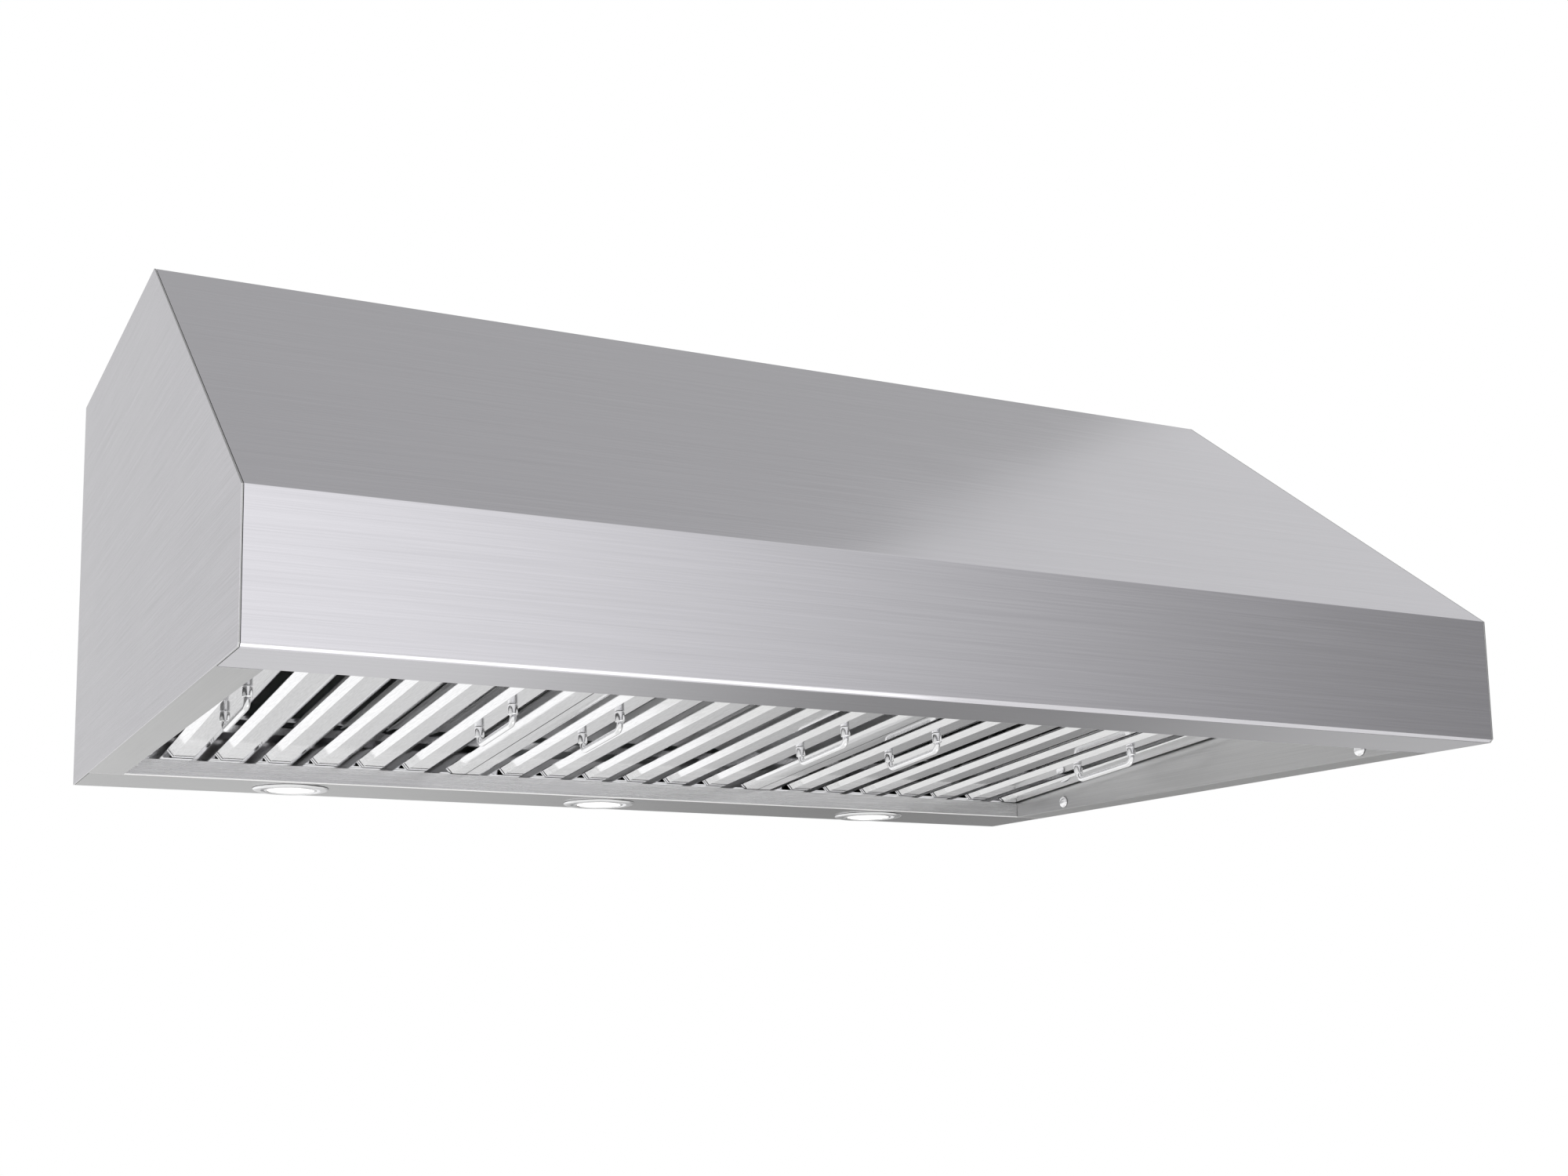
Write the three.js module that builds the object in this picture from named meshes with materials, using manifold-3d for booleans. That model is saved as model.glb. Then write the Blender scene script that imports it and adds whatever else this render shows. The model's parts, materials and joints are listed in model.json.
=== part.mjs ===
// An under cabinet range hood, 914 mm wide: a folded stainless canopy over three lift-in baffle filters,
// with three lamps in a rear deck, a double-inlet blower in the plenum and a damper collar on top.
//
// Millimetres, +Z up. The origin is the middle of the footprint at the height of the lamp faces, the lowest
// points. The cook stands on the -Y side and the wall is on the +Y side.
import * as THREE from "three";
import { mergeVertices } from "three/addons/utils/BufferGeometryUtils.js";
import Module from "manifold-3d";

const wasm = await Module();
wasm.setup();

// ---- Driving dimensions ----------------------------------------------------------------------------
const WIDTH = 914; // a 36 inch hood
const DEPTH = 610; // wall to front face
const HEIGHT = 324; // rim to top
const BAND = 89; // height of the upright front band
const TOP_DEPTH = 318; // depth of the flat top, to suit a wall cabinet
const SHEET = 1.2;
const GAP = 0.3; // between pieces that touch
const RUNNING = 0.1; // radial clearance of a shaft or pin in its hole
const SIDE_FLANGE = 28;
const FRONT_FLANGE = 60;
const FRONT_CHAMFER = 2.5;
const DECK_DEPTH = 80;
const LIP_HEIGHT = 14;
const LAMP_PROUD = 2; // how far the lamps hang below the rim

const RIM_Z = LAMP_PROUD;
const TOP_Z = RIM_Z + HEIGHT;
const BAND_Z = RIM_Z + BAND;
const FRONT_Y = -DEPTH / 2;
const BACK_Y = DEPTH / 2;
const TOP_FRONT_Y = BACK_Y - TOP_DEPTH;
const HALF = WIDTH / 2;
const INSIDE_X = HALF - SHEET - GAP; // half width between the side panels
const RETURN_Y = FRONT_Y + FRONT_FLANGE; // rear face of the front return
const WALL_X = HALF - SIDE_FLANGE; // face of the inner side walls
const LIP_Y = BACK_Y - DECK_DEPTH;
const CEILING = TOP_Z - SHEET - GAP; // underside of the top panel, less the gap
const HEM = 15; // width of the canopy's two stiffening flanges
const RETURN_TOP = 92; // height of the stop flange over the filters' front edge

// Fixings
const WALL_SCREW_Z = RIM_Z + 7;
const WALL_SCREW_Y = [-208, 152];
const WALL_SCREW_HOLE_R = 2.4;
const KEYHOLE_X = 300;
const KEYHOLE_Z = 268;
const KEYHOLE_R = 7;
const KEYHOLE_SLOT = 6.5;
const KEYHOLE_RISE = 20;
const CABINET_SCREW_X = 400;
const CABINET_SCREW_Y = [30, 270];
const CABINET_SCREW_R = 3.5;

// Baffle filters
const FILTERS = 3;
const FILTER_TILT = THREE.MathUtils.degToRad(5); // front edge up
const FILTER_SIDE_CLEARANCE = 3.5; // leaves room for the wall screws
const FILTER_JOIN = 0.8; // between neighbouring filters
const FILTER_WIDTH = (2 * (WALL_X - FILTER_SIDE_CLEARANCE) - (FILTERS - 1) * FILTER_JOIN) / FILTERS;
const FILTER_SPACING = FILTER_WIDTH + FILTER_JOIN;
const FILTER_FRONT = 463; // from the pivot edge to the front of the frame
const FILTER_REAR = 12; // from the pivot edge to the back of the frame
const FILTER_THICK = 32;
const FRAME_SHEET = 1.2;
const FRAME_BOTTOM_FLANGE = 11.4;
const FRAME_END_FLANGE = 11;
const FRAME_TOP_FLANGE = 13;
const BAFFLE_PITCH = 39.5;
const BAFFLES = 6;
const BAFFLE_FLAT = 16.5;
const BAFFLE_WING = 6.6;
const BAFFLE_RISE = 3.1;
const BAFFLE_SHEET = 1;
const UPPER_REAR_GAP = 26; // drain gap behind the upper baffles
const HANDLE_SPAN = 72;
const HANDLE_REAR = 155; // from the pivot edge to the rear post
const HANDLE_ROD = 2.5;
const HANDLE_POST = 3.7;
const HANDLE_DROP = 16.5; // lowest point below the lower baffles

// Lamps
const LAMP_Y = LIP_Y + 40;
const TRIM_R = 32;
const LENS_R = 19.5;
const TRIM_NECK_R = 26;
const TRIM_TOP = 9;
const LAMP_BODY_R = 22;
const LAMP_BODY_TOP = 52;
const DECK_HOLE_R = 27;

// Blower, on an axis along X
const BLOWER_Y = 115;
const BLOWER_Z = 190;
const WHEEL_R = 78;
const WHEEL_INNER_R = 66;
const WHEEL_HALF = 75;
const BLADES = 30;
const SCROLL_START_R = 86;
const SCROLL_END_R = 120;
const HOUSING_HALF = 88;
const EYE_R = 60;
const OUTLET = 120;
const HOUSING_SHEET = 1.2;
const MOTOR_R = 45;
const MOTOR_NEAR = -26;
const MOTOR_FAR = -102;
const SHAFT_R = 4;
const BRACKET_HALF_WIDTH = 14;
const BRACKET_HALF_HEIGHT = 76;

// Duct collar and damper
const COLLAR_Y = BLOWER_Y + SCROLL_END_R - OUTLET / 2;
const COLLAR_R = 100;
const COLLAR_HEIGHT = 32;
const COLLAR_RIM = TOP_Z + GAP + SHEET + COLLAR_HEIGHT;
const COLLAR_PLATE = 216; // the square flange, under the top panel
const FLAP_R = 96;
const FLAP_Z = TOP_Z + 10;
const FLAP_SHEET = 1;
const FLAP_DROP = 3.2; // the leaves' lower face, below the pin's axis
const PIN_R = 1.5;
const KNUCKLE_R = 3.2;
const KNUCKLE_HALF = 9;

// Controls, on the rear face of the front return where a cook's fingers find them
const CONTROL_X = 240;
const CONTROL_Z = 27;
const BUTTONS = 4;
const BUTTON_PITCH = 34;
const BUTTON_R = 7;
const BUTTON_PROUD = 2.2;
const STRIP_HALF = (BUTTONS * BUTTON_PITCH) / 2 + 12;
const STRIP_HALF_HEIGHT = 14;
const SLOT_HALF_HEIGHT = 9.5;
const BOARD_SETBACK = 8;

// Electrics
const BOX_X = 330;
const BOX_Y = 225;
const BOX_HALF = [55, 45];
const BOX_HEIGHT = 44;
const GROMMET_BORE = 7;
const GROMMET_HOLE = 11;
const GROMMET_LIP = 3;
const CAPACITOR_R = 16;

// ---- Materials -------------------------------------------------------------------------------------
const metal = (color, roughness) => new THREE.MeshStandardMaterial({ color, roughness, metalness: 1 });
const matte = (color, roughness = 0.6) => new THREE.MeshStandardMaterial({ color, roughness, metalness: 0 });
const BRUSHED = metal(0xb9babd, 0.35);
const BRIGHT = metal(0xd6d7d9, 0.18);
const CHROME = metal(0xe4e5e7, 0.08);
const GALVANISED = metal(0x9da1a4, 0.5);
const ALUMINIUM = metal(0xc3c6c9, 0.4);
const BLACK_PLASTIC = matte(0x1b1c1e);
const RUBBER = matte(0x161616, 0.85);
const GLASS = matte(0xf4f3ee, 0.25);
const CIRCUIT = matte(0x1f5133, 0.5);

// ---- Geometry helpers ------------------------------------------------------------------------------
const TAU = 2 * Math.PI;

function solid(geometry) {
  const bare = geometry.clone();
  bare.deleteAttribute("normal");
  bare.deleteAttribute("uv");
  const merged = mergeVertices(bare, 1e-4);
  const triangles = [];
  const index = merged.index.array;
  for (let i = 0; i < index.length; i += 3) {
    const [a, b, c] = index.slice(i, i + 3);
    if (a !== b && b !== c && a !== c) triangles.push(a, b, c);
  }
  const build = (triVerts) =>
    new wasm.Manifold(
      new wasm.Mesh({
        numProp: 3,
        vertProperties: merged.attributes.position.array,
        triVerts: new Uint32Array(triVerts),
      }),
    );
  const made = build(triangles);
  return made.volume() > 0 ? made : build(triangles.reverse());
}

function geometryOf(manifold) {
  const mesh = manifold.getMesh();
  const positions = new Float32Array(mesh.numVert * 3);
  for (let i = 0; i < mesh.numVert; i++) {
    positions.set(mesh.vertProperties.subarray(i * mesh.numProp, i * mesh.numProp + 3), i * 3);
  }
  const geometry = new THREE.BufferGeometry();
  geometry.setAttribute("position", new THREE.BufferAttribute(positions, 3));
  geometry.setIndex(new THREE.BufferAttribute(mesh.triVerts, 1));
  geometry.computeVertexNormals();
  return geometry;
}

const join = (...parts) => parts.reduce((a, b) => a.add(b));
const cut = (body, ...tools) => tools.reduce((a, b) => a.subtract(b), body);

function box(x0, x1, y0, y1, z0, z1) {
  const geometry = new THREE.BoxGeometry(x1 - x0, y1 - y0, z1 - z0);
  geometry.translate((x0 + x1) / 2, (y0 + y1) / 2, (z0 + z1) / 2);
  return solid(geometry);
}

const flatExtrude = (points, depth) =>
  new THREE.ExtrudeGeometry(new THREE.Shape(points.map(([u, v]) => new THREE.Vector2(u, v))), {
    depth,
    bevelEnabled: false,
  });

// A (y, z) outline drawn out along X.
function alongX(points, x0, x1) {
  const geometry = flatExtrude(points, x1 - x0);
  const turn = new THREE.Matrix4().set(0, 0, 1, x0, 1, 0, 0, 0, 0, 1, 0, 0, 0, 0, 0, 1);
  return solid(geometry.applyMatrix4(turn));
}

// An (x, z) outline drawn out along Y.
function alongY(points, y0, y1) {
  const geometry = flatExtrude(points.map(([x, z]) => [z, x]), y1 - y0);
  const turn = new THREE.Matrix4().set(0, 1, 0, 0, 0, 0, 1, y0, 1, 0, 0, 0, 0, 0, 0, 1);
  return solid(geometry.applyMatrix4(turn));
}

// An (r, h) profile turned about an axis through `centre`; h runs along the axis.
function turned(profile, axis, centre, segments = 36) {
  const closed = profile[0][0] === 0 ? profile : [...profile, profile[0]];
  const geometry = new THREE.LatheGeometry(closed.map(([r, h]) => new THREE.Vector2(r, h)), segments);
  if (axis === "x") geometry.rotateZ(-Math.PI / 2);
  if (axis === "z") geometry.rotateX(Math.PI / 2);
  geometry.translate(...centre);
  return solid(geometry);
}

const rod = (radius, h0, h1, axis, centre, segments = 24) =>
  turned([[0, h0], [radius, h0], [radius, h1], [0, h1]], axis, centre, segments);

const pipe = (inner, outer, h0, h1, axis, centre, segments = 36) =>
  turned([[inner, h0], [outer, h0], [outer, h1], [inner, h1]], axis, centre, segments);

// The outline of a folded sheet: `path` is one face of it, and the thickness lies to the left of the path.
function folded(path, thickness) {
  const normals = path.slice(1).map(([u, v], i) => {
    const [pu, pv] = path[i];
    const length = Math.hypot(u - pu, v - pv);
    return [-(v - pv) / length, (u - pu) / length];
  });
  const inner = path.map(([u, v], i) => {
    const a = normals[Math.max(i - 1, 0)];
    const b = normals[Math.min(i, normals.length - 1)];
    const scale = thickness / (1 + a[0] * b[0] + a[1] * b[1]);
    return [u + (a[0] + b[0]) * scale, v + (a[1] + b[1]) * scale];
  });
  return [...path, ...inner.reverse()];
}

// ---- The tree of named pieces ----------------------------------------------------------------------
const hood = new THREE.Group();

function add(name, material, shape, parent = hood) {
  const mesh = new THREE.Mesh(geometryOf(shape), material);
  mesh.name = name;
  parent.add(mesh);
  return mesh;
}

// ---- Canopy ----------------------------------------------------------------------------------------

// One sheet: top flange, slope, band, hem chamfer, underside flange, return and stop flange.
function frontCanopy() {
  const path = [
    [TOP_FRONT_Y + HEM, TOP_Z],
    [TOP_FRONT_Y, TOP_Z],
    [FRONT_Y, BAND_Z],
    [FRONT_Y, RIM_Z + FRONT_CHAMFER],
    [FRONT_Y + FRONT_CHAMFER, RIM_Z],
    [RETURN_Y, RIM_Z],
    [RETURN_Y, RETURN_TOP],
    [RETURN_Y + HEM, RETURN_TOP],
  ];
  const length = BUTTONS * BUTTON_PITCH;
  const slot = box(
    CONTROL_X - length / 2, CONTROL_X + length / 2,
    RETURN_Y - 4, RETURN_Y + 1,
    CONTROL_Z - SLOT_HALF_HEIGHT, CONTROL_Z + SLOT_HALF_HEIGHT,
  );
  return cut(alongX(folded(path, SHEET), -INSIDE_X, INSIDE_X), slot);
}

// The outer skin, the rim flange and the inner wall beside the filters, folded from one sheet.
function sidePanel(side) {
  const skin = [
    [FRONT_Y, RIM_Z + FRONT_CHAMFER],
    [FRONT_Y + FRONT_CHAMFER, RIM_Z],
    [BACK_Y, RIM_Z],
    [BACK_Y, TOP_Z],
    [TOP_FRONT_Y, TOP_Z],
    [FRONT_Y, BAND_Z],
  ];
  const wallFront = RETURN_Y + GAP;
  const wallBack = LIP_Y - GAP;
  const rise = Math.tan(FILTER_TILT);
  const wallTop = (y) => RIM_Z + LIP_HEIGHT + FILTER_THICK + 2 + (LIP_Y - y) * rise;
  const wall = [
    [wallFront, RIM_Z],
    [wallBack, RIM_Z],
    [wallBack, wallTop(wallBack)],
    [wallFront + HEM, wallTop(wallFront + HEM)],
    [wallFront + HEM, RETURN_TOP - SHEET - 2],
    [wallFront, RETURN_TOP - SHEET - 2],
  ];
  const span = (a, b) => (side > 0 ? [a, b] : [-b, -a]);
  const screwHoles = WALL_SCREW_Y.map((y) =>
    rod(WALL_SCREW_HOLE_R, ...span(WALL_X - 5, WALL_X + 5), "x", [0, y, WALL_SCREW_Z], 16),
  );
  const folds = join(
    alongX(skin, ...span(HALF - SHEET, HALF)),
    box(...span(WALL_X, HALF - SHEET / 2), wallFront, wallBack, RIM_Z, RIM_Z + SHEET),
    alongX(wall, ...span(WALL_X, WALL_X + SHEET)),
    box(
      ...span(HALF - 16, HALF - SHEET / 2),
      TOP_FRONT_Y + 20, BACK_Y - SHEET - GAP,
      TOP_Z - 2 * SHEET - GAP, TOP_Z - SHEET - GAP,
    ),
  );
  return cut(folds, ...screwHoles);
}

// The back, with two keyhole slots for wall screws.
function backPanel() {
  const plate = box(-INSIDE_X, INSIDE_X, BACK_Y - SHEET, BACK_Y, RIM_Z, TOP_Z - SHEET - GAP);
  const through = [BACK_Y - 4, BACK_Y + 2];
  const keyholes = [-KEYHOLE_X, KEYHOLE_X].flatMap((x) => [
    rod(KEYHOLE_R, ...through, "y", [x, 0, KEYHOLE_Z]),
    box(x - KEYHOLE_SLOT / 2, x + KEYHOLE_SLOT / 2, ...through, KEYHOLE_Z, KEYHOLE_Z + KEYHOLE_RISE),
  ]);
  return cut(plate, ...keyholes);
}

// The flat top, with the duct hole, the cable hole and four holes for cabinet screws.
function topPanel() {
  const plate = box(-INSIDE_X, INSIDE_X, TOP_FRONT_Y + HEM + GAP, BACK_Y, TOP_Z - SHEET, TOP_Z);
  const through = (radius, x, y, segments) => rod(radius, TOP_Z - 4, TOP_Z + 2, "z", [x, y, 0], segments);
  const screws = [-CABINET_SCREW_X, CABINET_SCREW_X].flatMap((x) =>
    CABINET_SCREW_Y.map((y) => through(CABINET_SCREW_R, x, y, 16)),
  );
  const duct = through(COLLAR_R + GAP, 0, COLLAR_Y, 48);
  return cut(plate, duct, through(GROMMET_HOLE, BOX_X, BOX_Y, 24), ...screws);
}

// The lamp deck behind the filters: underside, upright lip, sloping ledge that the filters rest on, upstand.
function rearDeck() {
  const ledge = 14;
  const upstand = 12;
  const ledgeEnd = [
    LIP_Y + ledge * Math.cos(FILTER_TILT),
    RIM_Z + LIP_HEIGHT - ledge * Math.sin(FILTER_TILT),
  ];
  const path = [
    [ledgeEnd[0], ledgeEnd[1] + upstand],
    ledgeEnd,
    [LIP_Y, RIM_Z + LIP_HEIGHT],
    [LIP_Y, RIM_Z],
    [BACK_Y - SHEET - GAP, RIM_Z],
  ];
  const holes = lampCentres().map((x) => rod(DECK_HOLE_R, 0, 20, "z", [x, LAMP_Y, 0], 36));
  const folds = alongX(folded(path, SHEET), -WALL_X, WALL_X);
  const wings = [-1, 1].map((side) =>
    box(
      ...(side > 0 ? [WALL_X - 1, INSIDE_X] : [-INSIDE_X, 1 - WALL_X]),
      LIP_Y, BACK_Y - SHEET - GAP, RIM_Z, RIM_Z + SHEET,
    ),
  );
  return cut(join(folds, ...wings), ...holes);
}

function lampCentres() {
  return [-1, 0, 1].map((i) => i * FILTER_SPACING);
}

add("front_canopy", BRUSHED, frontCanopy());
add("left_side_panel", BRUSHED, sidePanel(-1));
add("right_side_panel", BRUSHED, sidePanel(1));
add("back_panel", GALVANISED, backPanel());
add("top_panel", GALVANISED, topPanel());
add("rear_deck", BRUSHED, rearDeck());

// Button-head screws through the inner side walls, two a side.
function wallScrew() {
  const head = [[5.5, 0], [5.1, -1.2], [3.4, -2.2], [0, -2.4]];
  return turned([[0, 6], [2, 6], [2, 0], ...head], "x", [0, 0, 0], 24);
}
for (const [side, label] of [[-1, "left"], [1, "right"]]) {
  for (const [i, place] of ["front", "rear"].entries()) {
    const screw = add(`wall_screw_${label}_${place}`, CHROME, wallScrew());
    screw.rotation.z = side > 0 ? 0 : Math.PI;
    screw.position.set(side * (WALL_X - GAP), WALL_SCREW_Y[i], WALL_SCREW_Z);
  }
}

// ---- Baffle filters --------------------------------------------------------------------------------
const pivot = new THREE.Group(); // on the lip's top edge, turned so that local Y lies in the filters' plane
pivot.position.set(0, LIP_Y, RIM_Z + LIP_HEIGHT);
pivot.rotation.x = -FILTER_TILT;
hood.add(pivot);

// A box section open above and below. Each side flange turns up along its inner edge, like a channel's wing.
function filterFrame() {
  const w = FILTER_WIDTH / 2;
  const y0 = -FILTER_FRONT;
  const y1 = FILTER_REAR;
  const s = FRAME_SHEET;
  const b = FRAME_BOTTOM_FLANGE;
  const e = FRAME_END_FLANGE;
  const t = FRAME_TOP_FLANGE;
  const shell = cut(
    box(-w, w, y0, y1, 0, FILTER_THICK),
    box(-w + s, w - s, y0 + s, y1 - s, s, FILTER_THICK - s),
    box(-w + b, w - b, y0 + e, y1 - e, -1, s + 1),
    box(-w + t, w - t, y0 + t, y1 - t, FILTER_THICK - s - 1, FILTER_THICK + 1),
  );
  const wings = [-1, 1].map((side) => {
    const path = [
      [side * (w - b + 1), 0],
      [side * (w - b), 0],
      [side * (w - b - BAFFLE_WING), BAFFLE_RISE],
    ];
    return alongY(folded(side > 0 ? path.reverse() : path, s), y0 + e + 1, y1 - e - 1);
  });
  return join(shell, ...wings);
}

// A trough in section: a flat with two wings that flare away from it.
function trough(x, base, up) {
  const f = BAFFLE_FLAT / 2;
  const wide = f + BAFFLE_WING;
  const path = [
    [x + wide * up, base + BAFFLE_RISE * up],
    [x + f * up, base],
    [x - f * up, base],
    [x - wide * up, base + BAFFLE_RISE * up],
  ].reverse();
  return folded(path, BAFFLE_SHEET);
}

const LOWER_BASE = FRAME_SHEET + GAP;
const UPPER_BASE = FILTER_THICK - FRAME_SHEET - GAP;

// Troughs with end strips that lie on the frame's end flanges.
function lowerBaffles() {
  const y0 = -FILTER_FRONT + FRAME_SHEET + GAP;
  const y1 = FILTER_REAR - FRAME_SHEET - GAP;
  const troughs = [...Array(BAFFLES).keys()].map((i) =>
    alongY(trough((i - (BAFFLES - 1) / 2) * BAFFLE_PITCH, LOWER_BASE, 1), y0, y1),
  );
  const strip = ((BAFFLES - 1) / 2) * BAFFLE_PITCH + BAFFLE_FLAT / 2;
  const ends = [y0, y1 - 9].map((y) => box(-strip, strip, y, y + 9, LOWER_BASE, LOWER_BASE + BAFFLE_SHEET));
  return join(...troughs, ...ends);
}

// Inverted troughs over the gaps, hung from strips under the frame's top flange.
function upperBaffles() {
  const y0 = -FILTER_FRONT + FRAME_SHEET + GAP;
  const y1 = -UPPER_REAR_GAP;
  const troughs = [...Array(BAFFLES + 1).keys()].map((i) =>
    alongY(trough((i - BAFFLES / 2) * BAFFLE_PITCH, UPPER_BASE, -1), y0, y1),
  );
  const strip = FILTER_WIDTH / 2 - FRAME_SHEET - GAP;
  const ends = [y0, y1 - 12].map((y) => box(-strip, strip, y, y + 12, UPPER_BASE - BAFFLE_SHEET, UPPER_BASE));
  return join(...troughs, ...ends);
}

// A bent rod slung between two round posts, under the flat of a channel.
function handle() {
  const corner = 6;
  const half = HANDLE_SPAN / 2;
  const low = HANDLE_ROD - HANDLE_DROP;
  const top = -GAP;
  const at = (y, z) => new THREE.Vector3(0, y, z);
  const bend = new THREE.CurvePath();
  bend.add(new THREE.LineCurve3(at(-half, top), at(-half, low + corner)));
  bend.add(new THREE.QuadraticBezierCurve3(at(-half, low + corner), at(-half, low), at(-half + corner, low)));
  bend.add(new THREE.LineCurve3(at(-half + corner, low), at(half - corner, low)));
  bend.add(new THREE.QuadraticBezierCurve3(at(half - corner, low), at(half, low), at(half, low + corner)));
  bend.add(new THREE.LineCurve3(at(half, low + corner), at(half, top)));
  const ring = new THREE.Shape();
  ring.absarc(0, 0, HANDLE_ROD, 0, TAU, false);
  const grip = solid(
    new THREE.ExtrudeGeometry(ring, { steps: 32, curveSegments: 5, extrudePath: bend }),
  );
  const posts = [-half, half].map((y) => rod(HANDLE_POST, low + corner, top, "z", [0, y, 0], 14));
  return join(grip, ...posts);
}

const frameShape = filterFrame();
const lowerShape = lowerBaffles();
const upperShape = upperBaffles();
const handleShape = handle();

for (let i = 0; i < FILTERS; i++) {
  const filter = new THREE.Group();
  filter.position.set((i - 1) * FILTER_SPACING, 0, GAP);
  pivot.add(filter);
  const name = `filter_${i + 1}`;
  add(`${name}_frame`, BRIGHT, frameShape, filter);
  add(`${name}_lower_baffles`, BRIGHT, lowerShape, filter);
  add(`${name}_upper_baffles`, BRIGHT, upperShape, filter);
  for (const [side, label] of [[-1, "left"], [1, "right"]]) {
    const grip = add(`${name}_handle_${label}`, CHROME, handleShape, filter);
    grip.position.set(
      side * ((BAFFLES - 1) / 2) * BAFFLE_PITCH,
      -HANDLE_REAR - HANDLE_SPAN / 2,
      LOWER_BASE,
    );
  }
}

// Leaf springs on the return; the nose of each one lies just under its filter's front edge.
function filterClip(x) {
  const face = RETURN_Y + GAP;
  const edge = {
    y: LIP_Y - FILTER_FRONT * Math.cos(FILTER_TILT),
    z: RIM_Z + LIP_HEIGHT + FILTER_FRONT * Math.sin(FILTER_TILT),
  };
  const path = [
    [face, RETURN_TOP - SHEET - GAP],
    [face, RETURN_TOP - 12],
    [edge.y - 1.8, edge.z - 0.4],
    [edge.y + 2, edge.z - 3.8],
    [RETURN_Y + 3, edge.z - 10],
  ];
  return alongX(folded(path, 0.8), x - 20, x + 20);
}
lampCentres().forEach((x, i) => add(`filter_${i + 1}_clip`, CHROME, filterClip(x)));

// ---- Lamps -----------------------------------------------------------------------------------------
function lampTrim(centre) {
  const bore = LENS_R + GAP;
  const top = RIM_Z - GAP;
  const face = [[bore, 0], [24.5, 0], [27, 0.5], [TRIM_R - 0.8, RIM_Z - 1.4], [TRIM_R, top]];
  return turned([...face, [TRIM_NECK_R, top], [TRIM_NECK_R, TRIM_TOP], [bore, TRIM_TOP]], "z", centre);
}

function lampBody(centre) {
  const neck = LAMP_BODY_R - 4;
  const base = TRIM_TOP + GAP;
  const can = [[0, base], [LAMP_BODY_R, base], [LAMP_BODY_R, 30], [neck, 34]];
  return turned([...can, [neck, LAMP_BODY_TOP], [0, LAMP_BODY_TOP]], "z", centre);
}

lampCentres().forEach((x, i) => {
  const centre = [x, LAMP_Y, 0];
  add(`lamp_${i + 1}_trim`, CHROME, lampTrim(centre));
  add(`lamp_${i + 1}_lens`, GLASS, rod(LENS_R, 0.6, 4, "z", centre, 36));
  add(`lamp_${i + 1}_body`, ALUMINIUM, lampBody(centre));
});

// ---- Blower ----------------------------------------------------------------------------------------
// The scroll in (y, z): a spiral from the tongue round to the rear wall, then straight up to the outlet.
function scroll(offset) {
  const start = THREE.MathUtils.degToRad(75);
  const steps = 26;
  const points = [];
  for (let i = 0; i <= steps; i++) {
    const angle = start + ((TAU - start) * i) / steps;
    const radius = SCROLL_START_R + ((SCROLL_END_R - SCROLL_START_R) * i) / steps + offset;
    points.push([BLOWER_Y + radius * Math.cos(angle), BLOWER_Z + radius * Math.sin(angle)]);
  }
  const rear = BLOWER_Y + SCROLL_END_R + offset;
  const front = rear - OUTLET - 2 * offset;
  const top = CEILING - SHEET - GAP; // just under the collar's flange
  return [...points, [rear, top], [front, top]];
}

function blowerHousing() {
  const half = HOUSING_HALF + HOUSING_SHEET;
  const openTop = ([y, z]) => [y, z > TOP_Z - 10 ? z + 5 : z];
  const shell = alongX(scroll(HOUSING_SHEET), -half, half);
  const inside = alongX(scroll(0).map(openTop), -HOUSING_HALF, HOUSING_HALF);
  const eye = rod(EYE_R, -HOUSING_HALF - 5, HOUSING_HALF + 5, "x", [0, BLOWER_Y, BLOWER_Z], 36);
  return cut(shell, inside, eye);
}

// A double-inlet squirrel cage: blades between two end rings, on a centre plate with a hub.
function blowerWheel() {
  const centre = [0, BLOWER_Y, BLOWER_Z];
  const plateX = 8;
  const blade = new THREE.BoxGeometry(2 * WHEEL_HALF - 1, WHEEL_R - WHEEL_INNER_R - 1, 1.2);
  const blades = [...Array(BLADES).keys()].map((i) => {
    const turnedBlade = blade.clone();
    turnedBlade.rotateX(THREE.MathUtils.degToRad(32));
    turnedBlade.translate(0, (WHEEL_R + WHEEL_INNER_R) / 2, 0);
    turnedBlade.rotateX((TAU * i) / BLADES);
    turnedBlade.translate(...centre);
    return solid(turnedBlade);
  });
  const rings = [-WHEEL_HALF, WHEEL_HALF - 3].map((x) =>
    pipe(WHEEL_INNER_R, WHEEL_R, x, x + 3, "x", centre, 36),
  );
  const plate = pipe(SHAFT_R + RUNNING, WHEEL_R - 1, plateX, plateX + 2, "x", centre, 36);
  const hub = pipe(SHAFT_R + RUNNING, 12, plateX, plateX + 22, "x", centre, 24);
  return join(plate, hub, ...rings, ...blades);
}

const blowerCentre = [0, BLOWER_Y, BLOWER_Z];

function blowerMotor() {
  const bore = SHAFT_R + RUNNING;
  const shoulder = MOTOR_R - 4;
  const near = [[bore, MOTOR_NEAR], [16, MOTOR_NEAR], [18, -32], [shoulder, -34], [MOTOR_R, -38]];
  const far = [[MOTOR_R, MOTOR_FAR + 4], [shoulder, MOTOR_FAR], [bore, MOTOR_FAR]];
  return turned([...near, ...far], "x", blowerCentre);
}

// A strap across the left inlet that carries the motor, with a foot at each end on the housing.
function motorBracket() {
  const outer = -106;
  const foot = 10;
  const across = [BLOWER_Y - BRACKET_HALF_WIDTH, BLOWER_Y + BRACKET_HALF_WIDTH];
  const low = BLOWER_Z - BRACKET_HALF_HEIGHT;
  const high = BLOWER_Z + BRACKET_HALF_HEIGHT;
  const housingFace = -HOUSING_HALF - HOUSING_SHEET - GAP;
  return join(
    box(outer, MOTOR_FAR - GAP, ...across, low, high),
    box(outer, housingFace, ...across, low, low + foot),
    box(outer, housingFace, ...across, high - foot, high),
  );
}

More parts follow.
